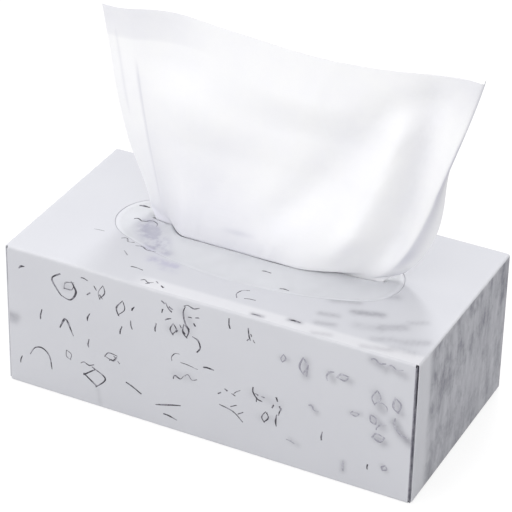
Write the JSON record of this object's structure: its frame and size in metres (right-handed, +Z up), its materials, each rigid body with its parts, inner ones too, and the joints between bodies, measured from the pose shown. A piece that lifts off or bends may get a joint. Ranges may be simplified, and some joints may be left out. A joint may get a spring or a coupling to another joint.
{
  "type": "tissue box",
  "caption": "Flat paperboard tissue box with an oval, film-lined opening in its top panel and a soft tissue standing half drawn out of the slit.",
  "frame": {"origin": "middle of the carton's underside", "axes": "+X along the carton's long side, +Y to its back, +Z up"},
  "size_m": [0.23, 0.116, 0.2022],
  "materials": {
    "carton_board": "smooth coated white board, lightly worn",
    "clear_film": "thin soft film",
    "tissue_paper": "soft creped tissue"
  },
  "bodies": {
    "root": {"carton": "carton_board", "slot_film": "clear_film", "tissue_stack": "tissue_paper", "tissue_front_ply": "tissue_paper", "tissue_rear_ply": "tissue_paper"}
  },
  "joints": []
}
